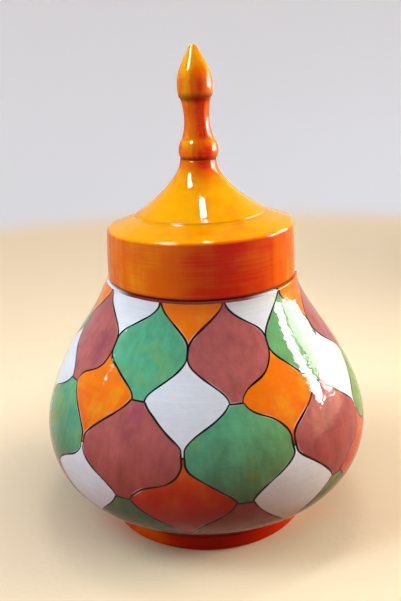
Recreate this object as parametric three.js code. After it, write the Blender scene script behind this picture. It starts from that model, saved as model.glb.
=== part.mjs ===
// Glazed ceramic jar with a lift-off lid, built up from turned clay members.
// Millimetres, +Z up. The origin is the centre of the foot, on the table.
import * as THREE from 'three';

// Steps round the axis of a wide and of a slender member, along a curve and round a small edge
const WIDE_STEPS = 48;
const SLENDER_STEPS = 24;
const CURVE_STEPS = 10;
const EDGE_STEPS = 3;

// Joints: the slip between two luted members, and the glaze between the lid and its ledge
const SLIP_JOINT = 0.3;
const SEAT_GAP = 0.3;

// Foot ring
const FOOT_RADIUS = 50;
const FOOT_HEIGHT = 8;
const FOOT_WIDTH = 9;
const FOOT_ROUND = 1.2;

// Bowl: the jar's height is up to its ledge, swells are lengths of the curve's handles
const JAR_HEIGHT = 124.4;
const BELLY_RADIUS = 80;
const BELLY_RISE = 42.3;
const FOOT_FLARE_OUT = 16.2;
const FOOT_FLARE_UP = 12.2;
const BELLY_SWELL_BELOW = 23.5;
const BELLY_SWELL_ABOVE = 27.6;
const SHOULDER_DRAW_IN = 15;
const BOWL_WALL = 5;
const BOWL_FLOOR = 6;
const LEDGE_MARGIN = 0.8;
const LEDGE_ROUND = 0.8;

// Neck collar
const NECK_CLEARANCE = 1.2;
const NECK_WALL = 4.7;
const NECK_RIM_GAP = 1.2;
const NECK_ROUND = 1.5;

// Lid cap
const LID_RADIUS = 45.3;
const LID_TAPER = 0.9;
const LID_WALL = 5;
const SKIRT_HEIGHT = 25.1;
const SKIRT_ROUND = 0.8;
const RIM_ROUND = 1.9;
const CAP_SLOPE_WIDTH = 13.2;
const CAP_RISE = 5;

// Spire
const SPIRE_SETBACK = 0.6;
const SPIRE_LIP = 0.3;
const SPIRE_HEIGHT = 24.4;
const SPIRE_TOP_RADIUS = 8.3;
const SPIRE_FLARE_IN = 13.6;
const SPIRE_FLARE_UP = 7.9;
const SPIRE_DRAW_IN = 7.5;
const SPIRE_WALL = 5.5;
const SPIRE_CROWN = 9;

// Finial stem with its bead
const BEAD_GROOVE = 0.1;
const BEAD_RADIUS = 9.1;
const BEAD_FULLNESS = 0.9;
const BEAD_SWELL_BELOW = 2.2;
const BEAD_SWELL_ABOVE = 2.2;
const BEAD_HEIGHT = 8.6;
const STEM_SHOULDER_RADIUS = 7.5;
const STEM_WAIST_RADIUS = 5.9;
const STEM_TOP_RADIUS = 6.5;
const STEM_LENGTH = 18.4;

// Finial bulb: a full belly, a straight flank and a blunt tip
const BULB_STEP = 0.8;
const BULB_RADIUS = 8.2;
const BULB_FULLNESS = 2.5;
const BULB_SWELL = 8;
const BULB_FLANK = 3.3;
const BULB_FLANK_SLOPE = 0.51;
const BULB_TIP_RADIUS = 2.2;
const BULB_TIP_HEIGHT = 1.5;
const BULB_HEIGHT = 22.6;

// Sizes that follow from those above
const bowlBase = FOOT_HEIGHT + SLIP_JOINT;
const bellyTop = JAR_HEIGHT - bowlBase;
const ledgeRadius = LID_RADIUS + LEDGE_MARGIN;
const rimRadius = LID_RADIUS - LID_TAPER;
const lidBore = rimRadius - LID_WALL;
const neckRadius = lidBore - NECK_CLEARANCE;
const mouthRadius = neckRadius - NECK_WALL;
const lidBase = JAR_HEIGHT + SEAT_GAP;
const lidDepth = SKIRT_HEIGHT - LID_WALL;
const neckHeight = SEAT_GAP + lidDepth - NECK_RIM_GAP - SLIP_JOINT;
const spireSeatRadius = rimRadius - CAP_SLOPE_WIDTH;
const spireRadius = spireSeatRadius - SPIRE_SETBACK;
const hollowRadius = spireRadius - SPIRE_WALL;
const capHeight = SKIRT_HEIGHT + CAP_RISE;
const stemHeight = BEAD_HEIGHT + STEM_LENGTH;
const stemBase = capHeight + SLIP_JOINT + SPIRE_HEIGHT + SLIP_JOINT;
const bulbBase = stemBase + stemHeight + SLIP_JOINT;

// Glazes
const WHITE_GLAZE = { color: 0xe6e3e6, roughness: 0.16, metalness: 0 };
const PAINTED_GLAZE = { color: 0xb98f86, roughness: 0.14, metalness: 0 };
const ORANGE_GLAZE = { color: 0xe07a14, roughness: 0.18, metalness: 0 };

// A point of an outline: radius from the axis, and height
const at = (radius, height) => new THREE.Vector2(radius, height);

// A long curve that leaves and arrives along its handles
const sweep = (from, leaving, arriving, to) =>
  new THREE.CubicBezierCurve(from, leaving, arriving, to).getPoints(CURVE_STEPS);

// A small rounded edge in place of a sharp corner
const rounded = (from, corner, to) => new THREE.QuadraticBezierCurve(from, corner, to).getPoints(EDGE_STEPS);

// Turns an outline about the jar's axis. It runs with the clay on its left, seen with the axis on the left.
function turned(name, outline, steps, glaze, height) {
  const points = outline.filter((point, index) => index === 0 || !point.equals(outline[index - 1]));
  const geometry = new THREE.LatheGeometry(points, steps);
  geometry.rotateX(Math.PI / 2);
  const mesh = new THREE.Mesh(geometry, new THREE.MeshStandardMaterial(glaze));
  mesh.name = name;
  mesh.position.z = height;
  return mesh;
}

function footRing() {
  const inside = FOOT_RADIUS - FOOT_WIDTH;
  return turned('foot_ring', [
    ...rounded(at(inside, FOOT_ROUND), at(inside, 0), at(inside + FOOT_ROUND, 0)),
    ...rounded(at(FOOT_RADIUS - FOOT_ROUND, 0), at(FOOT_RADIUS, 0), at(FOOT_RADIUS, FOOT_ROUND)),
    at(FOOT_RADIUS, FOOT_HEIGHT),
    at(inside, FOOT_HEIGHT),
    at(inside, FOOT_ROUND),
  ], WIDE_STEPS, ORANGE_GLAZE, 0);
}

// The inner wall follows the outer one up to the shoulder, and then closes in to the mouth
function jarBowl() {
  const innerRadius = BELLY_RADIUS - BOWL_WALL;
  const ledgeEdge = bellyTop - LEDGE_ROUND;
  return turned('jar_bowl', [
    at(0, 0),
    ...sweep(
      at(FOOT_RADIUS, 0),
      at(FOOT_RADIUS + FOOT_FLARE_OUT, FOOT_FLARE_UP),
      at(BELLY_RADIUS, BELLY_RISE - BELLY_SWELL_BELOW),
      at(BELLY_RADIUS, BELLY_RISE),
    ),
    ...sweep(
      at(BELLY_RADIUS, BELLY_RISE),
      at(BELLY_RADIUS, BELLY_RISE + BELLY_SWELL_ABOVE),
      at(ledgeRadius, ledgeEdge - SHOULDER_DRAW_IN),
      at(ledgeRadius, ledgeEdge),
    ),
    ...rounded(
      at(ledgeRadius, ledgeEdge),
      at(ledgeRadius, bellyTop),
      at(ledgeRadius - LEDGE_ROUND, bellyTop),
    ),
    at(mouthRadius, bellyTop),
    ...sweep(
      at(mouthRadius, bellyTop - LEDGE_ROUND),
      at(ledgeRadius - BOWL_WALL / 2, bellyTop - SHOULDER_DRAW_IN - BOWL_WALL),
      at(innerRadius, BELLY_RISE + BELLY_SWELL_ABOVE),
      at(innerRadius, BELLY_RISE),
    ),
    ...sweep(
      at(innerRadius, BELLY_RISE),
      at(innerRadius, BELLY_RISE - BELLY_SWELL_BELOW),
      at(FOOT_RADIUS + FOOT_FLARE_OUT - BOWL_WALL, BOWL_FLOOR),
      at(FOOT_RADIUS - FOOT_FLARE_OUT, BOWL_FLOOR),
    ),
    at(0, BOWL_FLOOR),
  ], WIDE_STEPS, PAINTED_GLAZE, bowlBase);
}

function neckCollar() {
  const rimEdge = neckHeight - NECK_ROUND;
  return turned('neck_collar', [
    at(mouthRadius, 0),
    at(neckRadius, 0),
    ...rounded(
      at(neckRadius, rimEdge),
      at(neckRadius, neckHeight),
      at(neckRadius - NECK_ROUND, neckHeight),
    ),
    ...rounded(
      at(mouthRadius + NECK_ROUND, neckHeight),
      at(mouthRadius, neckHeight),
      at(mouthRadius, rimEdge),
    ),
    at(mouthRadius, 0),
  ], WIDE_STEPS, WHITE_GLAZE, JAR_HEIGHT + SLIP_JOINT);
}

// The cap's ceiling runs level with its top, so the clay is as thick there as in the skirt
function lidCap() {
  const slope = CAP_RISE / CAP_SLOPE_WIDTH;
  return turned('lid_cap', [
    at(lidBore, 0),
    ...rounded(at(LID_RADIUS - SKIRT_ROUND, 0), at(LID_RADIUS, 0), at(LID_RADIUS, SKIRT_ROUND)),
    ...rounded(
      at(rimRadius, SKIRT_HEIGHT - RIM_ROUND),
      at(rimRadius, SKIRT_HEIGHT),
      at(rimRadius - RIM_ROUND, SKIRT_HEIGHT + RIM_ROUND * slope),
    ),
    at(spireSeatRadius, capHeight),
    at(hollowRadius, capHeight),
    at(hollowRadius, capHeight - LID_WALL),
    at(spireSeatRadius, capHeight - LID_WALL),
    at(lidBore, lidDepth),
    at(lidBore, 0),
  ], WIDE_STEPS, ORANGE_GLAZE, 0);
}

function lidSpire() {
  const hollowHeight = SPIRE_HEIGHT - SPIRE_CROWN;
  return turned('lid_spire', [
    at(0, hollowHeight),
    ...sweep(
      at(0, hollowHeight),
      at(SPIRE_TOP_RADIUS, hollowHeight),
      at(hollowRadius, SPIRE_LIP),
      at(hollowRadius, 0),
    ),
    at(spireRadius, 0),
    ...sweep(
      at(spireRadius, SPIRE_LIP),
      at(spireRadius - SPIRE_FLARE_IN, SPIRE_LIP + SPIRE_FLARE_UP),
      at(SPIRE_TOP_RADIUS, SPIRE_HEIGHT - SPIRE_DRAW_IN),
      at(SPIRE_TOP_RADIUS, SPIRE_HEIGHT),
    ),
    at(0, SPIRE_HEIGHT),
  ], WIDE_STEPS, ORANGE_GLAZE, capHeight + SLIP_JOINT);
}

// The stem's handles are set so that the middle of its curve is the waist
function finialStem() {
  const grooveRadius = SPIRE_TOP_RADIUS + BEAD_GROOVE;
  const handleRadius = (8 * STEM_WAIST_RADIUS - STEM_SHOULDER_RADIUS - STEM_TOP_RADIUS) / 6;
  return turned('finial_stem', [
    at(0, 0),
    ...sweep(
      at(grooveRadius, 0),
      at(BEAD_RADIUS + BEAD_FULLNESS, BEAD_SWELL_BELOW),
      at(BEAD_RADIUS, BEAD_HEIGHT - BEAD_SWELL_ABOVE),
      at(STEM_SHOULDER_RADIUS, BEAD_HEIGHT),
    ),
    ...sweep(
      at(STEM_SHOULDER_RADIUS, BEAD_HEIGHT),
      at(handleRadius, BEAD_HEIGHT + STEM_LENGTH / 3),
      at(handleRadius, BEAD_HEIGHT + STEM_LENGTH * 2 / 3),
      at(STEM_TOP_RADIUS, stemHeight),
    ),
    at(0, stemHeight),
  ], SLENDER_STEPS, ORANGE_GLAZE, stemBase);
}

// The flank's slope goes on into the round tip
function finialBulb() {
  const tipBase = BULB_HEIGHT - BULB_TIP_HEIGHT;
  return turned('finial_bulb', [
    at(0, 0),
    ...sweep(
      at(STEM_TOP_RADIUS + BULB_STEP, 0),
      at(BULB_RADIUS + BULB_FULLNESS, BULB_SWELL),
      at(BULB_TIP_RADIUS + BULB_FLANK * BULB_FLANK_SLOPE, tipBase - BULB_FLANK),
      at(BULB_TIP_RADIUS, tipBase),
    ),
    ...rounded(
      at(BULB_TIP_RADIUS, tipBase),
      at(BULB_TIP_RADIUS - BULB_TIP_HEIGHT * BULB_FLANK_SLOPE, BULB_HEIGHT),
      at(0, BULB_HEIGHT),
    ),
  ], SLENDER_STEPS, ORANGE_GLAZE, bulbBase);
}

const jar = new THREE.Group();
jar.add(footRing(), jarBowl(), neckCollar());

const lid = new THREE.Group();
lid.position.z = lidBase;
lid.add(lidCap(), lidSpire(), finialStem(), finialBulb());

const liddedJar = new THREE.Group();
liddedJar.add(jar, lid);

export default liddedJar;
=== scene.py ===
"""Models and glazes a thrown ceramic jar with a lift-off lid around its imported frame, in a plain studio."""

import math
from collections import namedtuple

import bmesh
import bpy
from bpy.props import FloatProperty, FloatVectorProperty, IntProperty, PointerProperty
from mathutils import Color, Matrix, Quaternion, Vector, noise
from mathutils.geometry import interpolate_bezier


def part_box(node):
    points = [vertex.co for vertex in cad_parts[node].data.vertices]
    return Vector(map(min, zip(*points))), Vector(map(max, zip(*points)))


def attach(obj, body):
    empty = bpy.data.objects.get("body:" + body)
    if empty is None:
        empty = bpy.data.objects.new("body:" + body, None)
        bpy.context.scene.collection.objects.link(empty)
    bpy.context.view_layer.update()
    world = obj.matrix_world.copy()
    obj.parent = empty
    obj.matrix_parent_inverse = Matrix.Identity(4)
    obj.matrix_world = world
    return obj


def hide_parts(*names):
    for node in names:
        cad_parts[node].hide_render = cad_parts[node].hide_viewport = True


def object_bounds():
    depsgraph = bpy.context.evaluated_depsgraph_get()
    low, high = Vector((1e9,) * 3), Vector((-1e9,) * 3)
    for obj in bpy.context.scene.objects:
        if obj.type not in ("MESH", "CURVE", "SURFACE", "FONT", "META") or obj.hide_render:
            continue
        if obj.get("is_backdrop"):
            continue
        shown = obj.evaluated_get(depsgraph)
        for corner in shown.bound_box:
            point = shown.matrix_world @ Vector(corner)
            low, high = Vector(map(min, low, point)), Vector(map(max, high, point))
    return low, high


bl_info = {
    "name": "Lidded ceramic jar",
    "version": (1, 0, 0),
    "blender": (4, 5, 0),
    "location": "View3D > Sidebar > Jar",
    "description": "A glazed jar with a lift-off lid, around its packed frame",
    "category": "Object",
}

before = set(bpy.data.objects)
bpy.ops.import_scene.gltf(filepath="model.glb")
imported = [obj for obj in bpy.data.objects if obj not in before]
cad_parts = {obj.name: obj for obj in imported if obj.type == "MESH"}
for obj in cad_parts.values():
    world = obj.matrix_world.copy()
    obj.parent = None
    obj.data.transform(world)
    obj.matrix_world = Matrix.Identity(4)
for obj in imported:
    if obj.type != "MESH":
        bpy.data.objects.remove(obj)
CAD_BOX = [list(corner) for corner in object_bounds()]

# Outlines are written in millimetres as radius and height, and Blender's unit is the metre
MM = 0.001
Member = namedtuple("Member", "radius base top")


def member(node):
    """Radius, base and top of a turned CAD node, in millimetres."""
    low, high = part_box(node)
    return Member(high.x / MM, low.z / MM, high.z / MM)


FOOT = member("foot_ring")
BOWL = member("jar_bowl")
COLLAR = member("neck_collar")
CAP = member("lid_cap")
SPIRE = member("lid_spire")
STEM = member("finial_stem")
BULB = member("finial_bulb")

# How far a member sinks into the one that carries it, so that the slip joint is closed
SLIP = 0.5
# How near a point lies to a ring of an outline to belong to it
RING_MATCH = 0.02
# How closely the potter's wobble follows itself, in waves per metre
WOBBLE_WAVES = 26

# Foot ring
FOOT_WIDTH = 9
FOOT_ROUND = 1.2
FOOT_GROOVE = 0.5

# Bowl: heights of its widest ring and its curve handles
BELLY_HEIGHT = 50.6
FLARE_OUT = 16.2
FLARE_UP = 12.2
SWELL_BELOW = 23.5
SWELL_ABOVE = 27.6
DRAW_IN = 15
FLOOR_DEPTH = 6
LEDGE_EDGE = 0.8
LEDGE_RADIUS = CAP.radius + LEDGE_EDGE
LEDGE_ROUND = 0.9 * LEDGE_EDGE
# The shoulder is thrown a little fuller on the left: how far, towards which turn, how that fades round the
# bowl, and between which heights
BULGE_DEPTH = 1.4
BULGE_TURN = math.radians(-95)
BULGE_SIDES = (0.3, 0.95)
BULGE_STARTS = (62, 92)
BULGE_ENDS = (118, 124)

# Neck collar
COLLAR_WALL = 4.7
COLLAR_ROUND = 1.5
COLLAR_WIPED = 1.1
MOUTH_RADIUS = COLLAR.radius - COLLAR_WALL

# Lid cap
CAP_TAPER = 1.1
CAP_WALL = 5
CAP_SLOPE = 13.2
CAP_RISE = 4.5
SKIRT_ROUND = 0.8
RIM_ROUND = 1.5
RIM_TUCK = 0.01

# Spire
SPIRE_WALL = 5.5
SPIRE_LIP = 0.55
SPIRE_FILLET = 0.4
SPIRE_ROUND = 0.3
SPIRE_NECK = 8.3
SPIRE_FLARE_IN = 13.6
SPIRE_FLARE_UP = 7.9
SPIRE_DRAW_IN = 7.5
SPIRE_CROWN = 9

# Finial: the bead with the waisted stem, and the bulb
BEAD_HEIGHT = 8.6
BEAD_GROOVE = 8.4
BEAD_TUCK = 0.3
BEAD_BELLY = 9.1
BEAD_FULL = 0.9
BEAD_SWELL = 2.2
STEM_SHOULDER = 7.5
STEM_WAIST = 5.9
STEM_TOP = 6.35
STEM_FLARE = 3.4
STEM_LEAVES = 0.2
SEAT_TUCK = 0.4
BULB_SEAT = 7.2
BULB_BELLY = 8.25
BULB_ROLL = 0.15
BULB_DROP = 0.1
BULB_UPRIGHT = 0.1
BULB_SWELL = 4.8
BULB_SHOULDER = 8.5
BULB_SHOULDER_HEIGHT = 11
BULB_FLANK = 4.3
BULB_FLANK_HEIGHT = 17
BULB_TIP = 2.2
BULB_TIP_HEIGHT = 1.5
LEAN_PIVOT = 196

# The lid's top hangs a little at the back, more on the left: how far, towards which turn, how fast that
# fades round the lid, and between which heights
SAG_DEPTH = 2.9
SAG_TURN = math.radians(-154)
SAG_FADE = 1.5
SAG_STARTS = (143, 150)
SAG_ENDS = (150, 172)

# Painted lattice: its columns round the jar and its rows down the wall, in millimetres and radians
COLUMNS = 10
FIRST_COLUMN = 10.5 / 36
SKEW = math.radians(1.85)
SKEW_START = math.radians(8)
TOP_ROW = 105
ROW_PITCH = 39.2
ROW_STRETCH = 8e-5
STRETCH_START = 66
# Half of the gap between cells that touch, as a share of a column, in the top row and further down, and
# the rows between which it changes
TOP_TOUCH = 0.004
LOW_TOUCH = 0.014
TOUCH_ROWS = (0.3, 0.7)
# How far the painter's hand strays, as a share of a cell
HAND_STRAY = 0.05
# Where a line slipped more, how far it slipped across and down, and how far round it that shows, all as
# columns and rows
HAND_SLIPS = [
    (-2.0, 0.5, 0.05, 0.02, 0.65),
    (-1.5, 1.0, -0.03, 0.075, 0.65),
    (-1.0, -0.5, 0.075, 0.03, 0.65),
    (-1.0, 1.5, -0.06, 0.025, 0.65),
    (0.5, 0.0, 0.03, -0.035, 0.65),
    (1.0, 1.5, -0.02, 0.04, 0.65),
    (1.5, 1.0, 0.0, 0.045, 0.65),
    (-1.62, 0.25, 0.0, 0.08, 0.3),
    (-0.62, 0.8, -0.02, 0.03, 0.3),
    (-0.62, 1.25, 0.015, 0.065, 0.3),
    (0.38, 0.25, 0.03, 0.03, 0.3),
    (0.35, 0.75, 0.02, -0.04, 0.3),
    (0.3, 1.7, 0.0, 0.03, 0.35),
    (0.6, -0.25, 0.03, 0.0, 0.3),
    (0.62, 1.25, 0.02, -0.015, 0.3),
]
# How full each half row is drawn: where it starts down the wall, where its curve leaves the neck and
# reaches its side, and half of the neck's width
HALF_ROWS = [
    (-1.0, 0.0, 0.96, 0.014),
    (0.0, 0.01, 0.88, 0.069),
    (0.5, -0.08, 0.86, 0.069),
    (1.0, -0.05, 0.9, 0.066),
    (1.5, -0.1, 0.98, 0.068),
]
ROW_RANGE = (-1, 3)
# Colour stops hold no negative numbers, so where a curve leaves its neck is stored this much higher
STORED_ABOVE = 0.1
# How upright the wall is at least taken to be where a line's width is worked out
LEAST_UPRIGHT = 0.35
# Half of the soft edge of a painted line, in millimetres
LINE_EDGE = 0.1
# Heights between which painted shade with a warm cast darkens the cells towards the foot, and how far they
# stray
SHADE_HEIGHTS = (90, 28)
SHADE_STRAY = 16
# Painted warm light from the right turns the green yellower there: between which places across, and by what
# share at most
WARM_LIGHT_SIDE = (-8, 62)
WARM_LIGHT_SHARE = 0.8
# The painting ends in a dark ring of painted shadow under the lid's skirt, round the ledge's edge: how far
# down its edge and how far in from it
SHADOW_RING_DEPTH = 0.8
SHADOW_RING_WIDTH = 2.2
# The painted shadow ring lies in front and on the left, and turns white on the left
SHADOW_RING_TURN = -0.7
SHADOW_RING_SIDES = (1.5, 1.1)
SHADOW_RING_WHITE = (0.75, 1.1)

# The lid's glaze was put on by pouring: how many heavy runs lie round it, and where the one in front is,
# which is placed there as painted shade on the lid's front
POURS = 3
SHADED_POUR_TURN = math.radians(18)
# How heavy and red the orange glaze is drawn, as shares of a heavy layer: all over, on upright faces and in a
# run, where upright faces and the run in front are partly painted shade below the lit top
THIN_LAYER = 0.05
UPRIGHT_SHADE_LAYER = 0.59
POURED_AND_SHADED_LAYER = 0.28
# Upward looks between which a face gets flat, and downward ones between which the glaze is wiped off
FLAT_LOOKS = (0.1, 0.85)
WIPED_LOOKS = (-0.95, -0.98)
# Turns between which the fine runs grow stronger on each side, and how strong they are there
RUN_TURNS = (0.5, 1.2)
RUNS_ASIDE = 1.1
# How much thicker than on the lid the orange glaze is drawn on the other members; the foot's extra is painted
# shade under the belly
FOOT_SHADE_EXTRA = 0.35
STEM_EXTRA = 0.0
BULB_EXTRA = -0.22
# A groove's dark red is glaze gathered in the joint and painted shade: its height, how far it reaches, and
# how much of the dark red it takes
Groove = namedtuple("Groove", "height reach share")

# Share of the glaze's mirror light, where a half is plain glass
GLAZE_SHEEN = 0.15
LID_SHEEN = 0.1
GLAZE_IOR = 1.48

# Heights of the relief in the glaze, in millimetres
RIPPLE_HEIGHT = 0.13
LID_RIPPLE_HEIGHT = 0.05
WAVE_HEIGHT = 0.09
PEEL_HEIGHT = 0.006
WHEEL_HEIGHT = 0.02
# Roughness of clear glaze, and how much more it may be in a dull spot
CLEAR = 0.02
DULL = 0.05

# Noise: its grain round the jar and up its height in millimetres, its detail and its start
WAVES = (9, 9, 1)
PEEL = (1.3, 1.3, 2)
WHEEL = (70, 2.2, 1)
RIPPLES = (3.4, 1.9, 1, 27)
DULL_SPOTS = (6, 6, 3, 5)
HAND_ACROSS = (26, 26, 1, 3)
HAND_DOWN = (26, 26, 1, 11)
STROKES = (3, 20, 3)
HAIRS = (1.4, 11, 3, 29)
PATCHES = (10, 14, 2, 7)
TURNED_RINGS = (60, 1.2, 2, 2)
TONES = (13, 13, 2, 19)
LINE_WAVES = (10, 10, 1, 17)
GROUND_PATCHES = (12, 12, 1, 23)
RING_WAVES = (14, 14, 1, 31)
DRIPS = (3.4, 45, 2, 15)
MOTTLE = (14, 12, 3, 9)
BRUSH_LINES = (36, 0.8, 3)
WHITE_RINGS = (50, 2.5, 2, 3)
WHITE_CLOUDS = (22, 22, 2, 6)
IRON_SPECKS = (1.1, 1.1, 1, 41)
WIPED_WAVES = (7, 7, 2, 13)
RIM_CLAY = (1.5, 1.5, 4)
UNDER_CLAY = (2, 2, 4)
FLOOR_CLOUDS = (90, 90, 3)
FLOOR_GRAIN = (3, 3, 2)

# Camera, from the fitted view
CAMERA_PLACE = (0, -0.37213, 0.23839)
CAMERA_PITCH = 0.3336
CAMERA_YAW = -0.0026
CAMERA_ROLL = 0.0322
CAMERA_LENS = 47.92
SENSOR = 36

# Studio floor with its wall, in metres
STAGE_RADIUS = 1.15
STAGE_HEIGHT = 0.75
STAGE_CURVE = 0.4
STAGE_STEPS = 96
LAMP_TARGET = Vector((0, 0, 0.12))
SKY_TINT = (0.92, 0.96, 1.0, 1)
SKY_STRENGTH = 0.36
# Parts of the stage, in millimetres: between which distances each begins, and how much its paint glows
WALL_STARTS = (600, 740)
WALL_GLOW = -0.03
NEAR_STARTS = (90, 200)
NEAR_GLOW = 0.3
FAR_STARTS = (200, 800)
FAR_GLOW = 0.2
FRONT_STARTS = (20, 160)
FRONT_GLOW = 0.22
RIGHT_STARTS = (60, 300)
RIGHT_GLOW = -0.25


def srgb(red, green, blue):
    """A colour written in 0 to 255 display steps, as Blender's linear values."""
    steps = [value / 255 for value in (red, green, blue)]
    return tuple(s / 12.92 if s <= 0.04045 else ((s + 0.055) / 1.055) ** 2.4 for s in steps)


def colour_property(name, description, default):
    """A colour that a user may change."""
    return FloatVectorProperty(
        name=name, description=description, default=default, subtype="COLOR", min=0, max=1
    )


def length_property(name, description, default):
    """A length that a user may change."""
    return FloatProperty(
        name=name, description=description, default=default, unit="LENGTH", min=0, precision=5
    )


class JarSizes(bpy.types.PropertyGroup):
    """Sizes of the jar's finish that a user would change."""

    turn_steps: IntProperty(
        name="Turn steps", description="Faces round a wide member", default=160, min=24
    )
    bowl_wall: length_property("Bowl wall", "Thickness of the bowl's side", 5 * MM)
    thrown_wobble: length_property("Thrown wobble", "How far the clay strays from a true circle", 0.25 * MM)
    line_width: length_property("Line width", "Mean width of the painted outlines", 0.86 * MM)
    finial_lean: FloatProperty(
        name="Finial lean",
        description="Lean of the stem and bulb to the left, as the fired lid has it",
        default=math.radians(1.5),
        unit="ROTATION",
    )


class GlazeColours(bpy.types.PropertyGroup):
    """Colours of the glazes, the clay and the studio."""

    mauve: colour_property("Mauve", "Painted cells", srgb(181, 96, 92))
    plum: colour_property("Plum", "Mauve where the brush left more violet", srgb(160, 78, 94))
    green: colour_property("Green", "Painted cells", srgb(90, 173, 134))
    # Leaf green is also the painted warm light on the green cells on the right
    leaf: colour_property("Leaf green", "Green where the brush left more yellow", srgb(130, 172, 84))
    orange: colour_property("Orange", "Painted cells", srgb(250, 122, 0))
    amber: colour_property("Amber", "Orange where the brush left less colour", srgb(244, 152, 14))
    # Orange that the painted shade turns the orange cells to, low on the belly
    shaded_orange: colour_property("Deep orange", "Painted cells low on the belly", srgb(214, 12, 0))
    white: colour_property("White", "Painted cells and the inside", srgb(230, 234, 243))
    # How painted shade with a warm cast darkens a colour low on the belly
    painted_shade: colour_property("Deepening", "What deep glaze does to a colour", (0.68, 0.28, 0.2))
    outline: colour_property("Outline", "Painted lines", srgb(12, 5, 5))
    # The lid's yellow tops and red sides are partly thin and heavy glaze and partly painted top light and
    # side shade
    lid_yellow: colour_property("Lid yellow", "Thin glaze on surfaces that face up", srgb(253, 170, 0))
    lid_orange: colour_property("Lid orange", "Glaze of middling thickness", srgb(240, 106, 0))
    lid_red: colour_property("Lid red", "Thick glaze", srgb(222, 36, 0))
    # Dark red of glaze gathered in grooves, also used for painted shade in the grooves and for the painted
    # shadow ring under the lid's skirt
    pooled_and_shade: colour_property("Pooled glaze", "Glaze that runs together in a groove", srgb(120, 12, 0))
    clay: colour_property("Bare clay", "Where the glaze is wiped off", srgb(206, 178, 146))
    floor: colour_property("Floor", "Studio floor", srgb(243, 220, 188))
    wall: colour_property("Wall", "Studio wall", srgb(236, 237, 241))
    bounce: colour_property("Bounce", "Light that the floor throws back on the jar", srgb(138, 78, 36))


def settings(context):
    """The sizes and colours that a user may change."""
    return context.scene.jar_sizes, context.scene.jar_colours


def run(start, end, steps):
    """Points of a straight stretch, without its start."""
    a, b = Vector(start), Vector(end)
    return [tuple(a.lerp(b, step / steps)) for step in range(1, steps + 1)]


def sweep(start, leaving, arriving, end, steps):
    """Points of a curve that leaves and arrives along its handles, without its start."""
    knots = [Vector((radius, 0, height)) for radius, height in (start, leaving, arriving, end)]
    return [(point.x, point.z) for point in interpolate_bezier(*knots, steps + 1)][1:]


def turned(outline, steps, closed):
    """Spins an outline about the jar's axis into a closed shell, in metres."""
    shell = bmesh.new()
    points = [shell.verts.new((radius * MM, 0, height * MM)) for radius, height in outline]
    pairs = list(zip(points, points[1:]))
    if closed:
        pairs.append((points[-1], points[0]))
    edges = [shell.edges.new(pair) for pair in pairs]
    bmesh.ops.spin(
        shell,
        geom=points + edges,
        cent=(0, 0, 0),
        axis=(0, 0, 1),
        angle=math.tau,
        steps=steps,
        use_merge=True,
    )
    bmesh.ops.remove_doubles(shell, verts=shell.verts, dist=1e-6)
    bmesh.ops.recalc_face_normals(shell, faces=shell.faces)
    return shell


def round_ring(shell, radius, height, width, segments):
    """Rounds the ring of edges at one corner of a spun outline."""

    def on_ring(vert):
        reach = math.hypot(vert.co.x, vert.co.y) / MM
        return abs(reach - radius) < RING_MATCH and abs(vert.co.z / MM - height) < RING_MATCH

    ring = [edge for edge in shell.edges if all(on_ring(vert) for vert in edge.verts)]
    if not ring:
        raise ValueError(f"no ring of edges at radius {radius} and height {height}")
    bmesh.ops.bevel(
        shell,
        geom=ring,
        offset=width * MM,
        offset_type="OFFSET",
        affect="EDGES",
        segments=segments,
        profile=0.5,
        material=-1,
        clamp_overlap=True,
    )


def thrown_by_hand(shell, amount):
    """Moves the clay a little off the true circle, in slow waves."""
    for vert in shell.verts:
        outward = Vector((vert.co.x, vert.co.y, 0))
        if outward.length > MM:
            vert.co += outward.normalized() * amount * noise.noise(vert.co * WOBBLE_WAVES)


def smooth(value, start, end):
    """Goes smoothly from 0 to 1 while the value goes from start to end."""
    share = min(max((value - start) / (end - start), 0), 1)
    return share * share * (3 - 2 * share)


def sagged(shell):
    """Lets one side of the lid's top hang a little, as the fired lid has it."""
    for vert in shell.verts:
        height = vert.co.z / MM
        away = math.atan2(vert.co.x, -vert.co.y) - SAG_TURN
        share = ((1 + math.cos(away)) / 2) ** SAG_FADE * smooth(height, *SAG_STARTS)
        vert.co.z -= SAG_DEPTH * MM * share * (1 - smooth(height, *SAG_ENDS))


def bulged(shell):
    """Pushes one side of the bowl's shoulder out a little, as the thrown bowl has it."""
    for vert in shell.verts:
        height = vert.co.z / MM
        outward = Vector((vert.co.x, vert.co.y, 0))
        away = math.atan2(vert.co.x, -vert.co.y) - BULGE_TURN
        share = smooth(math.cos(away), *BULGE_SIDES) * smooth(height, *BULGE_STARTS)
        if outward.length > MM:
            vert.co += outward.normalized() * BULGE_DEPTH * MM * share * (1 - smooth(height, *BULGE_ENDS))


def outward_share(face):
    """How much a face looks away from the jar's axis, from -1 to 1."""
    centre = face.calc_center_median()
    return face.normal.dot(Vector((centre.x, centre.y, 0)).normalized())


def finished(name, shell, glazes, inner=None):
    """Makes a piece from a shell. Faces that inner picks take the second glaze."""
    bmesh.ops.recalc_face_normals(shell, faces=shell.faces)
    for face in shell.faces:
        face.smooth = True
        face.material_index = 1 if inner and inner(face) else 0
    mesh = bpy.data.meshes.new(name)
    shell.to_mesh(mesh)
    shell.free()
    for glaze in glazes:
        mesh.materials.append(glaze)
    piece = bpy.data.objects.new(name, mesh)
    bpy.context.scene.collection.objects.link(piece)
    evened = piece.modifiers.new("even_shading", "WEIGHTED_NORMAL")
    evened.mode = "FACE_AREA"
    evened.keep_sharp = False
    return piece


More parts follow.
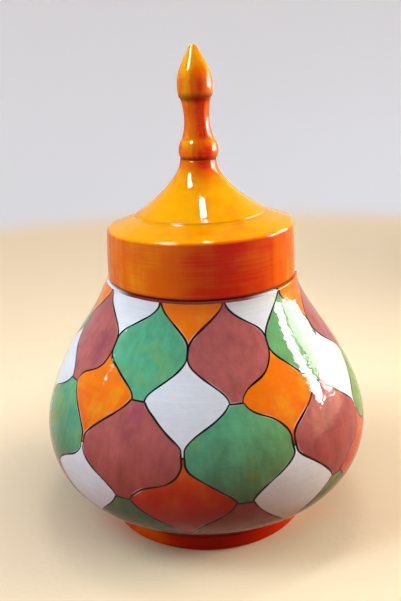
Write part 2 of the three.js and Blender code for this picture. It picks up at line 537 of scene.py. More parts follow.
class Number:
    """A number on a node socket. Arithmetic with it adds Math nodes to its recipe."""

    def __init__(self, recipe, socket):
        self.recipe = recipe
        self.socket = socket

    def __add__(self, other):
        return self.recipe.math("ADD", self, other)

    __radd__ = __add__

    def __sub__(self, other):
        return self.recipe.math("SUBTRACT", self, other)

    def __rsub__(self, other):
        return self.recipe.math("SUBTRACT", other, self)

    def __mul__(self, other):
        return self.recipe.math("MULTIPLY", self, other)

    __rmul__ = __mul__

    def __truediv__(self, other):
        return self.recipe.math("DIVIDE", self, other)

    def __mod__(self, other):
        return self.recipe.math("FLOORED_MODULO", self, other)

    def __lt__(self, other):
        return self.recipe.math("LESS_THAN", self, other)

    def __gt__(self, other):
        return self.recipe.math("GREATER_THAN", self, other)

    def __abs__(self):
        return self.recipe.math("ABSOLUTE", self)

    def __round__(self):
        return self.recipe.math("ROUND", self)

    def __floor__(self):
        return self.recipe.math("FLOOR", self)


class Recipe:
    """Lays out the nodes of one material. Its places are in millimetres of the piece's own coordinates."""

    def __init__(self, name):
        self.material = bpy.data.materials.new(name)
        self.material.use_nodes = True
        self.nodes = self.material.node_tree.nodes
        self.links = self.material.node_tree.links
        self.shader = self.nodes["Principled BSDF"]
        coordinates = self.nodes.new("ShaderNodeTexCoord")
        self.place = self.vector("SCALE", coordinates.outputs["Object"], scale=1 / MM)
        self.x, self.y, self.z = self.split(self.place)
        facing = self.nodes.new("ShaderNodeNewGeometry")
        self.up = self.split(facing.outputs["Normal"])[2]

    def feed(self, socket, value):
        """Links a value to a socket, or sets the socket to it."""
        if isinstance(value, Number):
            value = value.socket
        if isinstance(value, bpy.types.NodeSocket):
            self.links.new(value, socket)
        elif isinstance(value, (tuple, Color)) and len(socket.default_value) == 4:
            socket.default_value = (*value, 1)
        else:
            socket.default_value = value

    def math(self, operation, *values):
        """A Math node's result."""
        node = self.nodes.new("ShaderNodeMath")
        node.operation = operation
        for socket, value in zip(node.inputs, values):
            self.feed(socket, value)
        return Number(self, node.outputs[0])

    def vector(self, operation, first, second=None, scale=None):
        """A Vector Math node's result."""
        node = self.nodes.new("ShaderNodeVectorMath")
        node.operation = operation
        self.feed(node.inputs[0], first)
        if second is not None:
            self.feed(node.inputs[1], second)
        if scale is not None:
            self.feed(node.inputs["Scale"], scale)
        return node.outputs[0]

    def split(self, vector):
        """The three numbers of a vector."""
        node = self.nodes.new("ShaderNodeSeparateXYZ")
        self.feed(node.inputs[0], vector)
        return [Number(self, socket) for socket in node.outputs]

    def reach(self):
        """Distance from the jar's axis."""
        return self.math("SQRT", self.x * self.x + self.y * self.y)

    def turn(self):
        """Turn about the jar's axis in radians, from the viewer's side towards +X."""
        return self.math("ARCTAN2", self.x, 0 - self.y)

    def grain(self, across, along, detail=2.0, offset=0.0, scale=1.0):
        """Noise centred on 0 with the given grain size round the jar and along its height, in mm."""
        across, along = across * scale, along * scale
        stretched = self.vector("MULTIPLY", self.place, (1 / across, 1 / across, 1 / along))
        moved = self.vector("ADD", stretched, (offset, offset, offset))
        node = self.nodes.new("ShaderNodeTexNoise")
        self.feed(node.inputs["Vector"], moved)
        node.inputs["Scale"].default_value = 1
        node.inputs["Detail"].default_value = detail
        return Number(self, node.outputs[0]) - 0.5

    def ease(self, value, start, end, low=0.0, high=1.0):
        """Goes smoothly from low to high while the value goes from start to end."""
        node = self.nodes.new("ShaderNodeMapRange")
        node.interpolation_type = "SMOOTHSTEP"
        for socket, number in zip(node.inputs, (value, start, end, low, high)):
            self.feed(socket, number)
        return Number(self, node.outputs[0])

    def blend(self, share, first, second):
        """The first colour where the share is 0 and the second where it is 1."""
        node = self.nodes.new("ShaderNodeMix")
        node.data_type = "RGBA"
        self.feed(node.inputs[0], share)
        self.feed(node.inputs[6], first)
        self.feed(node.inputs[7], second)
        return node.outputs[2]

    def tinted(self, colour, strength):
        """A colour made lighter or darker."""
        return self.vector("SCALE", colour, scale=strength)

    def steps_down(self, value, low, high, rows):
        """Three numbers that change in steps. Each row has the value where it starts, and its numbers."""
        node = self.nodes.new("ShaderNodeValToRGB")
        node.color_ramp.interpolation = "CONSTANT"
        self.feed(node.inputs[0], (value - low) / (high - low))
        stops = node.color_ramp.elements
        while len(stops) < len(rows):
            stops.new(1.0)
        for stop, (start, *numbers) in zip(stops, rows):
            stop.position = (start - low) / (high - low)
            stop.color = (*numbers, 1)
        return self.split(node.outputs[0])

    def surface(self, colour, roughness, height, sheen=GLAZE_SHEEN):
        """Joins a colour, roughness, height in millimetres and share of mirror light to the shader."""
        self.feed(self.shader.inputs["Base Color"], colour)
        self.feed(self.shader.inputs["Roughness"], roughness)
        bump = self.nodes.new("ShaderNodeBump")
        bump.inputs["Distance"].default_value = MM
        self.feed(bump.inputs["Height"], height)
        self.links.new(bump.outputs[0], self.shader.inputs["Normal"])
        self.shader.inputs["IOR"].default_value = GLAZE_IOR
        self.shader.inputs["Specular IOR Level"].default_value = sheen
        return self.material


def glassy(recipe, rippled=RIPPLE_HEIGHT):
    """Roughness and height of a fired glaze: nearly smooth, with waves, ripples and fine orange peel."""
    roughness = CLEAR + DULL * (recipe.grain(*DULL_SPOTS) + 0.5)
    height = WAVE_HEIGHT * recipe.grain(*WAVES) + rippled * recipe.grain(*RIPPLES)
    height = height + PEEL_HEIGHT * recipe.grain(*PEEL) + WHEEL_HEIGHT * recipe.grain(*WHEEL)
    return roughness, height


Lattice = namedtuple("Lattice", "column row inside small distance")


def slipped(recipe, across, down):
    """Places in the lattice, moved where the painter's hand slipped."""
    moved_across, moved_down = across, down
    for column, row, aside, below, reach in HAND_SLIPS:
        off, under = across - column, down - row
        share = recipe.ease(recipe.math("SQRT", off * off + under * under), reach, 0)
        moved_across = moved_across - aside * share
        moved_down = moved_down - below * share
    return moved_across, moved_down


def painted_lattice(recipe):
    """Where a point lies in the painted lattice, and its distance to the nearest line in millimetres."""
    turn = recipe.turn()
    turn = turn - SKEW * recipe.math("SINE", turn + SKEW_START)
    across = turn * (COLUMNS / math.tau) - FIRST_COLUMN + HAND_STRAY * recipe.grain(*HAND_ACROSS)
    below = recipe.math("MAXIMUM", STRETCH_START - recipe.z, 0)
    down = (TOP_ROW - recipe.z) / ROW_PITCH - ROW_STRETCH * below * below
    down = down + HAND_STRAY * recipe.grain(*HAND_DOWN)
    across, down = slipped(recipe, across, down)
    column = round(across)
    row = round(down)
    off = abs(across - column)
    side = 1 - 2 * abs(down - row)

    # The cell's half width swells from its neck to the side that touches the next cell
    rows = [(start, leaves + STORED_ABOVE, reaches, neck) for start, leaves, reaches, neck in HALF_ROWS]
    leaves, reaches, neck = recipe.steps_down(down, *ROW_RANGE, rows)
    leaves = leaves - STORED_ABOVE
    swelling = 0.5 - recipe.ease(down, *TOUCH_ROWS, TOP_TOUCH, LOW_TOUCH) - neck
    half = neck + swelling * recipe.ease(side, leaves, reaches)
    inside = off < half

    # The curve's slope turns a distance across into a distance square to the line
    stretch = reaches - leaves
    share = recipe.math("MINIMUM", recipe.math("MAXIMUM", (side - leaves) / stretch, 0), 1)
    pitch = recipe.reach() * (math.tau / COLUMNS)
    fall = 1 / ROW_PITCH - 2 * ROW_STRETCH * below
    upright = recipe.math("MAXIMUM", recipe.math("SQRT", 1 - recipe.up * recipe.up), LEAST_UPRIGHT)
    slope = 12 * share * (1 - share) / stretch * swelling * pitch * fall * upright
    aside = abs(off - half) * pitch / recipe.math("SQRT", 1 + slope * slope)
    # A short line crosses each neck, which lies in a cell, and each gap where two cells touch
    far_off = ROW_PITCH * COLUMNS
    to_neck = side / (2 * fall * upright) + far_off * (1 - inside)
    to_gap = abs(down - row) / (fall * upright) + far_off * inside
    nearest = recipe.math("MINIMUM", aside, recipe.math("MINIMUM", to_neck, to_gap))
    small = (math.floor(across) + math.floor(down)) % 2
    return Lattice(column, row, inside, small, nearest)


def painted_glaze(colours, sizes):
    """Clear glaze over hand-painted cells with dark outlines."""
    recipe = Recipe("painted_glaze")
    cells = painted_lattice(recipe)
    strokes, hairs, patches = recipe.grain(*STROKES), recipe.grain(*HAIRS), recipe.grain(*PATCHES)
    rings = recipe.grain(*TURNED_RINGS)
    tone = recipe.ease(recipe.grain(*TONES), 0, 0.35)

    mauve = recipe.blend(tone, colours.mauve, colours.plum)
    # Green turns to leaf green in random patches, and towards the right as painted warm light
    leaf_and_warm_light = recipe.math("MAXIMUM", tone, recipe.ease(recipe.x, *WARM_LIGHT_SIDE, 0, WARM_LIGHT_SHARE))
    green = recipe.blend(leaf_and_warm_light, colours.green, colours.leaf)
    large = recipe.blend((cells.column + cells.row) % 2, mauve, green)
    large = recipe.tinted(large, 1 + 0.5 * strokes + 0.2 * hairs + 0.5 * patches)

    # Painted shade with a warm cast darkens the cells towards the foot, where orange turns to red and white
    # stays pale
    low_shade = recipe.ease(recipe.z + SHADE_STRAY * patches, *SHADE_HEIGHTS)
    thin = recipe.ease(patches + 0.6 * strokes, -0.05, 0.3)
    orange = recipe.blend(thin, colours.orange, colours.amber)
    orange = recipe.blend(low_shade, orange, colours.shaded_orange)
    small = recipe.blend(cells.small, orange, colours.white)
    small = recipe.tinted(small, 1 + 0.16 * rings + 0.14 * patches)
    fill = recipe.blend(cells.inside, small, large)
    pale = cells.small * (1 - cells.inside)
    shaded_fill = recipe.vector("MULTIPLY", fill, colours.painted_shade)
    fill = recipe.blend(low_shade * (1 - 0.8 * pale), fill, shaded_fill)

    # The fill stops a little short of the line in places, and shows the white ground
    half_line = sizes.line_width / MM / 2 + 0.6 * recipe.grain(*LINE_WAVES)
    ground = recipe.ease(cells.distance, half_line + 0.2, half_line + 0.55, 1, 0)
    ground = ground * recipe.ease(recipe.grain(*GROUND_PATCHES), 0, 0.15)
    fill = recipe.blend(0.3 * ground, fill, colours.white)
    line = recipe.ease(cells.distance, half_line - LINE_EDGE, half_line + LINE_EDGE, 1, 0)
    drawn = recipe.blend(line, fill, colours.outline)

    # The ring of painted shadow under the lid's skirt round the ledge's edge, and the white of the ledge
    # inside it
    reach = recipe.reach()
    turn = recipe.turn()
    uneven = 0.4 * recipe.grain(*RING_WAVES)
    ring_foot = BOWL.top - SHADOW_RING_DEPTH
    ring = recipe.ease(recipe.z + uneven, ring_foot - LINE_EDGE, ring_foot + LINE_EDGE)
    ring = ring * recipe.ease(abs(turn - SHADOW_RING_TURN), *SHADOW_RING_SIDES)
    whitened = recipe.ease(0 - turn, *SHADOW_RING_WHITE)
    drawn = recipe.blend(ring, drawn, recipe.blend(whitened, colours.pooled_and_shade, colours.white))
    ledge = recipe.ease(LEDGE_RADIUS - reach + uneven, SHADOW_RING_WIDTH - LINE_EDGE, SHADOW_RING_WIDTH + LINE_EDGE)
    colour = recipe.blend(ledge, drawn, colours.white)
    roughness, height = glassy(recipe)
    # The painted shadow ring is made rough, so that the glaze mirrors little on it
    bare = ring * (1 - whitened)
    return recipe.surface(colour, roughness + 0.9 * bare, height)


def orange_glaze(
    name, colours, grooves, extra=0.0, grain=1.0, runs_in_front=0.1, thin_below=0.0, wiped_below=False
):
    """Orange glaze: yellow on faces that look up, redder on upright faces and in its runs, dark red in
    grooves.

    The yellow tops and red sides are partly thin and heavy glaze and partly painted top light and side shade;
    the run in front is painted shade, and the dark red of the grooves is glaze gathered in them and painted
    shade. It lies thin on faces that look up and below one height, and may be wiped off faces that look down.
    """
    recipe = Recipe(name)
    drips = recipe.grain(*DRIPS, scale=grain)
    mottle = recipe.grain(*MOTTLE, scale=grain)
    turn = recipe.turn()
    poured_and_shaded = recipe.math("COSINE", POURS * (turn - SHADED_POUR_TURN))
    flat = recipe.ease(recipe.up, *FLAT_LOOKS)
    flat = recipe.math("MAXIMUM", flat, recipe.ease(recipe.z, thin_below + 0.4, thin_below))
    brush = recipe.grain(*BRUSH_LINES) * (1 - 0.75 * flat)
    # Upright faces and the runs are drawn redder, partly as heavier glaze and partly as painted shade below
    # the lit top
    thick_and_shaded = extra + THIN_LAYER + UPRIGHT_SHADE_LAYER * (1 - flat) + POURED_AND_SHADED_LAYER * poured_and_shaded * (1 - 0.7 * flat)
    aside = recipe.ease(abs(turn), *RUN_TURNS, runs_in_front, RUNS_ASIDE)
    thick_and_shaded = thick_and_shaded + (0.5 + 0.2 * flat) * mottle + 0.5 * brush + (1 - flat) * aside * drips
    colour = recipe.blend(recipe.ease(thick_and_shaded, 0, 0.5), colours.lid_yellow, colours.lid_orange)
    colour = recipe.blend(recipe.ease(thick_and_shaded, 0.5, 1), colour, colours.lid_red)
    colour = recipe.tinted(colour, 1 + 0.3 * brush)
    # Each groove darkens to dark red: glaze gathered in the joint, and painted shade
    for groove in grooves:
        away = abs(recipe.z - groove.height) + 0.5 * mottle
        pool_and_shade = recipe.ease(away, 0.15, groove.reach, groove.share, 0)
        colour = recipe.blend(pool_and_shade, colour, colours.pooled_and_shade)
    roughness, height = glassy(recipe, LID_RIPPLE_HEIGHT * grain)
    if wiped_below:
        wiped = recipe.ease(recipe.up, *WIPED_LOOKS)
        clay = recipe.tinted(colours.clay, 1 + 0.5 * recipe.grain(*UNDER_CLAY))
        colour = recipe.blend(wiped, colour, clay)
        roughness = roughness + 0.6 * wiped
    return recipe.surface(colour, roughness, height, LID_SHEEN)


def white_glaze(name, colours, bare_above=BULB.top):
    """Plain white glaze with wheel rings and a few iron specks, wiped to bare clay above a height."""
    recipe = Recipe(name)
    rings = recipe.grain(*WHITE_RINGS)
    colour = recipe.tinted(colours.white, 0.97 + 0.1 * rings + 0.12 * recipe.grain(*WHITE_CLOUDS))
    specks = recipe.ease(recipe.grain(*IRON_SPECKS), 0.24, 0.27)
    colour = recipe.blend(0.5 * specks, colour, colours.clay)
    edge = recipe.z + 0.8 * recipe.grain(*WIPED_WAVES)
    bare = recipe.ease(edge, bare_above - 0.15, bare_above + 0.15)
    clay = recipe.tinted(colours.clay, 1 + 0.5 * recipe.grain(*RIM_CLAY))
    colour = recipe.blend(bare, colour, clay)
    roughness, height = glassy(recipe)
    return recipe.surface(colour, roughness + 0.55 * bare, height + 0.12 * rings)


def studio_paint(colours):
    """Matt paint of the floor and its wall, which glows a little away from the jar."""
    recipe = Recipe("studio_paint")
    reach = recipe.reach()
    wall = recipe.ease(reach, *WALL_STARTS)
    near, far = recipe.ease(reach, *NEAR_STARTS), recipe.ease(reach, *FAR_STARTS)
    front, right = recipe.ease(0 - recipe.y, *FRONT_STARTS), recipe.ease(recipe.x, *RIGHT_STARTS)
    glow = NEAR_GLOW * near + FAR_GLOW * far + FRONT_GLOW * front
    glow = glow + RIGHT_GLOW * right * (1 - far) + WALL_GLOW * wall
    colour = recipe.blend(wall, colours.floor, colours.wall)
    colour = recipe.tinted(colour, 1 + 0.03 * recipe.grain(*FLOOR_CLOUDS))
    # The paint looks pale to the viewer and in reflections, and throws less light back on the jar
    path = recipe.nodes.new("ShaderNodeLightPath")
    seen = [Number(recipe, path.outputs[f"Is {kind} Ray"]) for kind in ("Camera", "Glossy", "Transmission")]
    seen = recipe.math("MINIMUM", sum(seen), 1)
    recipe.feed(recipe.shader.inputs["Emission Color"], colour)
    recipe.feed(recipe.shader.inputs["Emission Strength"], seen * glow)
    colour = recipe.blend(seen, colours.bounce, colour)
    return recipe.surface(colour, 0.75, 0.15 * recipe.grain(*FLOOR_GRAIN), sheen=0.0)


class JAR_OT_foot_ring(bpy.types.Operator):
    """Model the low foot ring that the bowl stands on"""

    bl_idname = "jar.foot_ring"
    bl_label = "Foot ring"

    def execute(self, context):
        sizes, colours = settings(context)
        inside = FOOT.radius - FOOT_WIDTH
        top = FOOT.top + SLIP
        outline = [(inside, 0), (FOOT.radius, 0), (FOOT.radius, FOOT.top), (FOOT.radius - FOOT_GROOVE, top)]
        shell = turned([*outline, (inside, top)], sizes.turn_steps, closed=True)
        for radius in (inside, FOOT.radius):
            round_ring(shell, radius, 0, FOOT_ROUND, 4)
        # Dark red at the foot's top is painted shade under the belly, with glaze gathered at the join
        grooves = [Groove(FOOT.top, reach=1.4, share=0.85)]
        # The foot's glaze is drawn redder as painted shade under the belly
        glaze = orange_glaze("foot_glaze", colours, grooves, FOOT_SHADE_EXTRA, wiped_below=True)
        piece = finished("foot_glazed", shell, [glaze])
        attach(piece, "jar")
        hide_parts("foot_ring")
        return {"FINISHED"}


class JAR_OT_painted_bowl(bpy.types.Operator):
    """Model the round-bellied bowl with its painted lattice and white inside"""

    bl_idname = "jar.painted_bowl"
    bl_label = "Painted bowl"

    def execute(self, context):
        sizes, colours = settings(context)
        wall = sizes.bowl_wall / MM
        hollow = BOWL.radius - wall
        floor = BOWL.base + FLOOR_DEPTH
        widest = (BOWL.radius, BELLY_HEIGHT)
        outline = [(0, BOWL.base), *run((0, BOWL.base), (FOOT.radius, BOWL.base), 4)]
        outline += sweep(
            (FOOT.radius, BOWL.base),
            (FOOT.radius + FLARE_OUT, BOWL.base + FLARE_UP),
            (BOWL.radius, BELLY_HEIGHT - SWELL_BELOW),
            widest,
            steps=22,
        )
        outline += sweep(
            widest,
            (BOWL.radius, BELLY_HEIGHT + SWELL_ABOVE),
            (LEDGE_RADIUS, BOWL.top - LEDGE_EDGE - DRAW_IN),
            (LEDGE_RADIUS, BOWL.top - LEDGE_EDGE),
            steps=30,
        )
        outline += [(LEDGE_RADIUS, BOWL.top), *run((LEDGE_RADIUS, BOWL.top), (MOUTH_RADIUS, BOWL.top), 3)]
        outline += sweep(
            (MOUTH_RADIUS, BOWL.top),
            (LEDGE_RADIUS - wall / 2, BOWL.top - DRAW_IN - wall),
            (hollow, BELLY_HEIGHT + SWELL_ABOVE),
            (hollow, BELLY_HEIGHT),
            steps=26,
        )
        outline += sweep(
            (hollow, BELLY_HEIGHT),
            (hollow, BELLY_HEIGHT - SWELL_BELOW),
            (FOOT.radius + FLARE_OUT - wall, floor),
            (FOOT.radius - FLARE_OUT, floor),
            steps=20,
        )
        outline += run((FOOT.radius - FLARE_OUT, floor), (0, floor), 4)
        shell = turned(outline, sizes.turn_steps, closed=False)
        round_ring(shell, LEDGE_RADIUS, BOWL.top, LEDGE_ROUND, 4)
        thrown_by_hand(shell, sizes.thrown_wobble)
        bulged(shell)
        glazes = [painted_glaze(colours, sizes), white_glaze("inner_glaze", colours)]

        def inner(face):
            on_ledge = face.calc_center_median().z > (BOWL.top - SLIP) * MM
            return outward_share(face) < 0.02 and not on_ledge

        piece = finished("bowl_painted", shell, glazes, inner=inner)
        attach(piece, "jar")
        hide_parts("jar_bowl")
        return {"FINISHED"}


class JAR_OT_neck_collar(bpy.types.Operator):
    """Model the upright collar that the lid goes over"""

    bl_idname = "jar.neck_collar"
    bl_label = "Neck collar"

    def execute(self, context):
        sizes, colours = settings(context)
        base = COLLAR.base - SLIP
        outline = [(MOUTH_RADIUS, base), (COLLAR.radius, base)]
        outline += run((COLLAR.radius, base), (COLLAR.radius, COLLAR.top), 4)
        outline += [(MOUTH_RADIUS, COLLAR.top)]
        outline += run((MOUTH_RADIUS, COLLAR.top), (MOUTH_RADIUS, base), 4)[:-1]
        shell = turned(outline, sizes.turn_steps, closed=True)
        for radius in (MOUTH_RADIUS, COLLAR.radius):
            round_ring(shell, radius, COLLAR.top, COLLAR_ROUND, 5)
        thrown_by_hand(shell, sizes.thrown_wobble)
        glaze = white_glaze("collar_glaze", colours, COLLAR.top - COLLAR_WIPED)
        piece = finished("collar_glazed", shell, [glaze])
        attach(piece, "jar")
        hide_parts("neck_collar")
        return {"FINISHED"}


class JAR_OT_lid_cap(bpy.types.Operator):
    """Model the lid's side wall and its sloped top"""

    bl_idname = "jar.lid_cap"
    bl_label = "Lid cap"

    def execute(self, context):
        sizes, colours = settings(context)
        rim = CAP.radius - CAP_TAPER
        bore = rim - CAP_WALL
        edge = CAP.top - CAP_RISE
        seat = rim - CAP_SLOPE
        hollow = SPIRE.radius - SPIRE_WALL
        outline = [(bore, CAP.base), (CAP.radius, CAP.base)]
        outline += run((CAP.radius, CAP.base), (rim - RIM_TUCK, edge), 6)
        outline += run((rim, edge), (seat, CAP.top), 3)
        outline += [(hollow, CAP.top), (hollow, edge), (seat, edge), (bore, edge - CAP_WALL)]
        outline += run((bore, edge - CAP_WALL), (bore, CAP.base), 5)[:-1]
        shell = turned(outline, sizes.turn_steps, closed=True)
        round_ring(shell, rim - RIM_TUCK, edge, RIM_ROUND, 8)
        for radius in (bore, CAP.radius):
            round_ring(shell, radius, CAP.base, SKIRT_ROUND, 4)
        thrown_by_hand(shell, sizes.thrown_wobble)
        sagged(shell)
        # Glaze gathered with painted shade in the crease round the spire, and painted shadow along the
        # skirt's bottom edge
        grooves = [Groove(CAP.top, reach=1.2, share=0.1), Groove(CAP.base, reach=1.9, share=0.95)]
        glazes = [
            orange_glaze("cap_glaze", colours, grooves, wiped_below=True),
            white_glaze("lid_inner_glaze", colours),
        ]

        def inner(face):
            high = face.calc_center_median().z > (CAP.base + CAP_WALL) * MM
            return outward_share(face) < -0.5 or (face.normal.z < -0.3 and high)

        piece = finished("cap_glazed", shell, glazes, inner=inner)
        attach(piece, "lid")
        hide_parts("lid_cap")
        return {"FINISHED"}


class JAR_OT_lid_spire(bpy.types.Operator):
    """Model the hollow cone that rises from the cap"""

    bl_idname = "jar.lid_spire"
    bl_label = "Lid spire"

    def execute(self, context):
        sizes, colours = settings(context)
        hollow = SPIRE.radius - SPIRE_WALL
        crown = SPIRE.top - SPIRE_CROWN
        base = SPIRE.base - SLIP
        lip = SPIRE.base + SPIRE_LIP
        outline = [(0, crown)]
        outline += sweep((0, crown), (SPIRE_NECK, crown), (hollow, lip), (hollow, base), steps=14)
        foot = SPIRE.radius + SPIRE_FILLET
        outline += [(foot, base), (foot, CAP.top)]
        outline += [(SPIRE.radius, CAP.top + SPIRE_FILLET / 2), (SPIRE.radius, lip)]
        outline += sweep(
            (SPIRE.radius, lip),
            (SPIRE.radius - SPIRE_FLARE_IN, lip + SPIRE_FLARE_UP),
            (SPIRE_NECK, SPIRE.top - SPIRE_DRAW_IN),
            (SPIRE_NECK, SPIRE.top),
            steps=26,
        )
        outline += run((SPIRE_NECK, SPIRE.top), (0, SPIRE.top), 2)
        shell = turned(outline, sizes.turn_steps, closed=False)
        round_ring(shell, SPIRE.radius, lip, SPIRE_ROUND, 4)
        thrown_by_hand(shell, sizes.thrown_wobble)
        sagged(shell)
        # Glaze gathered with painted shade in the crease at the spire's foot, and painted shade under the
        # bead
        grooves = [Groove(SPIRE.base, reach=0.9, share=0.16), Groove(SPIRE.top, reach=1.2, share=0.75)]
        glazes = [
            orange_glaze("spire_glaze", colours, grooves, thin_below=lip),
            white_glaze("spire_inner_glaze", colours),
        ]
        piece = finished("spire_glazed", shell, glazes, inner=lambda face: face.normal.z < -0.02)
        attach(piece, "lid")
        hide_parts("lid_spire")
        return {"FINISHED"}


class JAR_OT_finial(bpy.types.Operator):
    """Model the bead with its waisted stem, and the pointed bulb on it"""

    bl_idname = "jar.finial"
    bl_label = "Finial"

    def execute(self, context):
        sizes, colours = settings(context)
        steps = sizes.turn_steps // 2
        lean = Matrix.Rotation(-sizes.finial_lean, 3, "Y")
        pivot = Vector((0, 0, LEAN_PIVOT * MM))
        makers = [
            (self.stem_outline(), "stem", "finial_stem", STEM_EXTRA),
            (self.bulb_outline(), "bulb", "finial_bulb", BULB_EXTRA),
        ]
        # Painted shade under the bead and under the bulb, with glaze gathered at their joins
        grooves = [Groove(STEM.base, reach=2.2, share=0.7), Groove(BULB.base, reach=3, share=0.65)]
        for outline, name, node, extra in makers:
            shell = turned(outline, steps, closed=False)
            thrown_by_hand(shell, sizes.thrown_wobble)
            bmesh.ops.rotate(shell, verts=shell.verts, cent=pivot, matrix=lean)
            glaze = orange_glaze(f"{name}_glaze", colours, grooves, extra, grain=0.45, runs_in_front=0.7)
            piece = finished(f"{name}_glazed", shell, [glaze])
            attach(piece, "lid")
            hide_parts(node)
        return {"FINISHED"}

    def stem_outline(self):
        """The bead, the waist and the seat of the bulb."""
        shoulder = STEM.base + BEAD_HEIGHT
        flare = STEM.top - STEM_FLARE
        length = flare - shoulder
        # A curve with both handles here is as narrow as the waist halfway up
        waist = (8 * STEM_WAIST - STEM_SHOULDER - STEM_TOP) / 6
        foot = STEM.base - SLIP
        outline = [(0, foot), (BEAD_GROOVE - BEAD_TUCK, foot), (BEAD_GROOVE, STEM.base)]
        outline += sweep(
            (BEAD_GROOVE, STEM.base),
            (BEAD_BELLY + BEAD_FULL, STEM.base + BEAD_SWELL),
            (BEAD_BELLY, shoulder - BEAD_SWELL),
            (STEM_SHOULDER, shoulder),
            steps=14,
        )
        outline += sweep(
            (STEM_SHOULDER, shoulder),
            (waist, shoulder + length / 3),
            (waist, flare - length / 3),
            (STEM_TOP, flare),
            steps=16,
        )
        outline += sweep(
            (STEM_TOP, flare),
            (STEM_TOP + STEM_LEAVES, flare + STEM_FLARE / 3),
            (BULB_SEAT - SEAT_TUCK, STEM.top - STEM_FLARE / 3),
            (BULB_SEAT, STEM.top),
            steps=8,
        )
        return [*outline, (0, STEM.top)]

    def bulb_outline(self):
        """The bulb's underside, its belly and its tip."""
        seat = BULB.base - SLIP
        belly = BULB.base + BULB_SWELL
        tip = BULB.top - BULB_TIP_HEIGHT
        outline = [(0, seat), (BULB_SEAT, seat)]
        outline += sweep(
            (BULB_SEAT, seat),
            (BULB_BELLY - BULB_ROLL, BULB.base - BULB_DROP),
            (BULB_BELLY - BULB_UPRIGHT, BULB.base + BULB_SWELL / 2),
            (BULB_BELLY, belly),
            steps=10,
        )
        outline += sweep(
            (BULB_BELLY, belly),
            (BULB_SHOULDER, BULB.base + BULB_SHOULDER_HEIGHT),
            (BULB_FLANK, BULB.base + BULB_FLANK_HEIGHT),
            (BULB_TIP, tip),
            steps=22,
        )
        corner = 0.65 * BULB_TIP
        outline += sweep((BULB_TIP, tip), (corner, BULB.top), (corner, BULB.top), (0, BULB.top), steps=8)
        return outline


def direction(azimuth, elevation):
    """Unit vector to a lamp. Azimuth is in degrees from the viewer's side, towards +X."""
    turn, rise = math.radians(azimuth), math.radians(elevation)
    return Vector((math.sin(turn) * math.cos(rise), -math.cos(turn) * math.cos(rise), math.sin(rise)))


def softbox(name, place, size, brightness, tint, spread=180, twist=0, lit=True, mirrored=True):
    """A rectangular lamp that faces the jar. It may only give light, or only show in mirrored light.

    Its place is azimuth, elevation and distance, and its brightness is in steps of paper white.
    """
    azimuth, elevation, distance = place
    width, height = size
    half = math.radians(spread) / 2
    lamp = bpy.data.lights.new(name, "AREA")
    lamp.shape = "RECTANGLE"
    lamp.size = width
    lamp.size_y = height
    lamp.energy = brightness * math.pi * width * height * (1 - half / math.tan(half))
    lamp.color = tint
    lamp.spread = math.radians(spread)
    holder = bpy.data.objects.new(name, lamp)
    back = direction(azimuth, elevation)
    holder.location = LAMP_TARGET + back * distance
    turn = (-back).to_track_quat("-Z", "Y") @ Quaternion((0, 0, 1), math.radians(twist))
    holder.rotation_euler = turn.to_euler()
    holder.visible_camera = False
    holder.visible_diffuse = lit
    holder.visible_glossy = mirrored
    bpy.context.scene.collection.objects.link(holder)


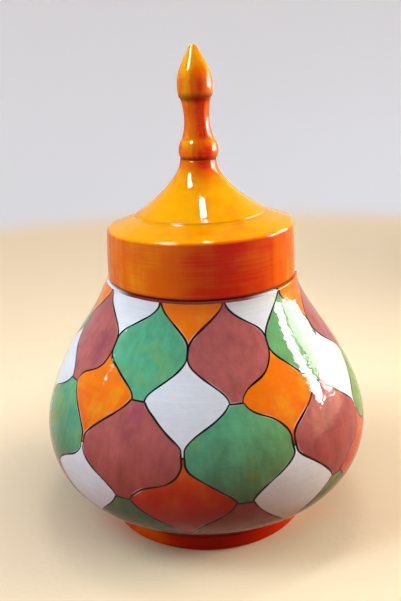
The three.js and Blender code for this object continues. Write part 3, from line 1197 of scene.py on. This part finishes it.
class JAR_OT_stage(bpy.types.Operator):
    """Set up the camera, the lamps and the pale studio floor"""

    bl_idname = "jar.stage"
    bl_label = "Stage"

    def execute(self, context):
        scene = context.scene
        scene.view_settings.view_transform = "Standard"
        self.floor(scene)
        self.lamps(scene)
        self.camera(scene)
        return {"FINISHED"}

    def floor(self, scene):
        """A round floor that curves up into a low wall."""
        radius, height = STAGE_RADIUS / MM, STAGE_HEIGHT / MM
        shell = turned([(0, 0), (radius, 0), (radius, height)], STAGE_STEPS, closed=False)
        round_ring(shell, radius, 0, STAGE_CURVE / MM, 16)
        for face in shell.faces:
            if face.normal.z < -0.01 or outward_share(face) > 0.01:
                face.normal_flip()
        mesh = bpy.data.meshes.new("studio")
        shell.to_mesh(mesh)
        shell.free()
        mesh.shade_smooth()
        mesh.materials.append(studio_paint(scene.jar_colours))
        studio = bpy.data.objects.new("studio", mesh)
        scene.collection.objects.link(studio)
        studio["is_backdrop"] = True

    def lamps(self, scene):
        """A window on the right, lamps on the left and overhead, what the glaze mirrors, and a dim sky."""
        cool, warm, plain = (0.79, 0.93, 1.0), (1.0, 0.95, 0.76), (1.0, 1.0, 1.0)
        # These light the jar, and the glaze doesn't mirror them
        softbox("right_window", (98, 8, 0.6), (0.36, 0.2), 25, warm, spread=80, mirrored=False)
        softbox("left_lamp", (-58, 50, 0.8), (0.14, 0.36), 20.5, cool, spread=75, mirrored=False)
        softbox("left_window", (-88, 6, 0.9), (0.5, 0.36), 9, cool, spread=80, mirrored=False)
        softbox("top_lamp", (130, 85, 1.1), (0.05, 0.2), 60, plain, mirrored=False)
        softbox("front_fill", (25, 58, 1.1), (0.8, 0.6), 2, plain, mirrored=False)
        # These show only in the glaze
        softbox("right_pane_near", (91, 15.2, 0.57), (0.085, 0.215), 56, plain, lit=False)
        softbox("right_pane_far", (111, 14, 0.57), (0.25, 0.24), 24, plain, lit=False)
        softbox("right_sheen", (92, 1, 0.55), (0.4, 0.15), 5.5, (1.0, 0.7, 0.35), lit=False)
        softbox("right_glint", (91, 13.6, 0.54), (0.06, 0.17), 130, plain, lit=False)
        softbox("left_pane", (-85.5, 20.3, 0.88), (0.025, 0.06), 42, plain, lit=False)
        softbox("left_glint", (-57, 54, 0.76), (0.16, 0.36), 170, plain, lit=False)
        softbox("top_glint", (140, 84.5, 1.05), (0.1, 0.28), 250, plain, twist=45, lit=False)
        sky = bpy.data.worlds.new("sky")
        sky.use_nodes = True
        background = sky.node_tree.nodes["Background"]
        background.inputs["Color"].default_value = SKY_TINT
        background.inputs["Strength"].default_value = SKY_STRENGTH
        scene.world = sky

    def camera(self, scene):
        """The viewer's camera."""
        level = math.cos(CAMERA_PITCH)
        sine, cosine = math.sin(CAMERA_YAW), math.cos(CAMERA_YAW)
        ahead = Vector((sine * level, cosine * level, -math.sin(CAMERA_PITCH)))
        right = Vector((cosine, -sine, 0))
        up = right.cross(ahead)
        tilted_right = right * math.cos(CAMERA_ROLL) - up * math.sin(CAMERA_ROLL)
        tilted_up = right * math.sin(CAMERA_ROLL) + up * math.cos(CAMERA_ROLL)
        lens = bpy.data.cameras.new("viewer")
        lens.lens = CAMERA_LENS
        lens.sensor_width = SENSOR
        lens.clip_start = 0.01
        viewer = bpy.data.objects.new("viewer", lens)
        turn = Matrix((tilted_right, tilted_up, -ahead)).transposed()
        viewer.matrix_world = Matrix.Translation(CAMERA_PLACE) @ turn.to_4x4()
        scene.collection.objects.link(viewer)
        scene.camera = viewer


OPERATORS = (
    JAR_OT_foot_ring,
    JAR_OT_painted_bowl,
    JAR_OT_neck_collar,
    JAR_OT_lid_cap,
    JAR_OT_lid_spire,
    JAR_OT_finial,
    JAR_OT_stage,
)


class JAR_PT_pieces(bpy.types.Panel):
    """Lists the jar's pieces and settings"""

    bl_idname = "JAR_PT_pieces"
    bl_label = "Lidded jar"
    bl_space_type = "VIEW_3D"
    bl_region_type = "UI"
    bl_category = "Jar"

    def draw(self, context):
        layout = self.layout
        for group in settings(context):
            for name in group.__annotations__:
                layout.prop(group, name)
        for operator in OPERATORS:
            layout.operator(operator.bl_idname)


CLASSES = (JarSizes, GlazeColours, *OPERATORS, JAR_PT_pieces)


def register():
    for cls in CLASSES:
        bpy.utils.register_class(cls)
    bpy.types.Scene.jar_sizes = PointerProperty(type=JarSizes)
    bpy.types.Scene.jar_colours = PointerProperty(type=GlazeColours)


def unregister():
    del bpy.types.Scene.jar_colours
    del bpy.types.Scene.jar_sizes
    for cls in reversed(CLASSES):
        bpy.utils.unregister_class(cls)


def main():
    register()
    bpy.ops.jar.foot_ring()
    bpy.ops.jar.painted_bowl()
    bpy.ops.jar.neck_collar()
    bpy.ops.jar.lid_cap()
    bpy.ops.jar.lid_spire()
    bpy.ops.jar.finial()
    bpy.ops.jar.stage()
    visual_box = [list(corner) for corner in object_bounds()]
    {"cad": CAD_BOX, "visual": visual_box}


if __name__ == "__main__":
    main()
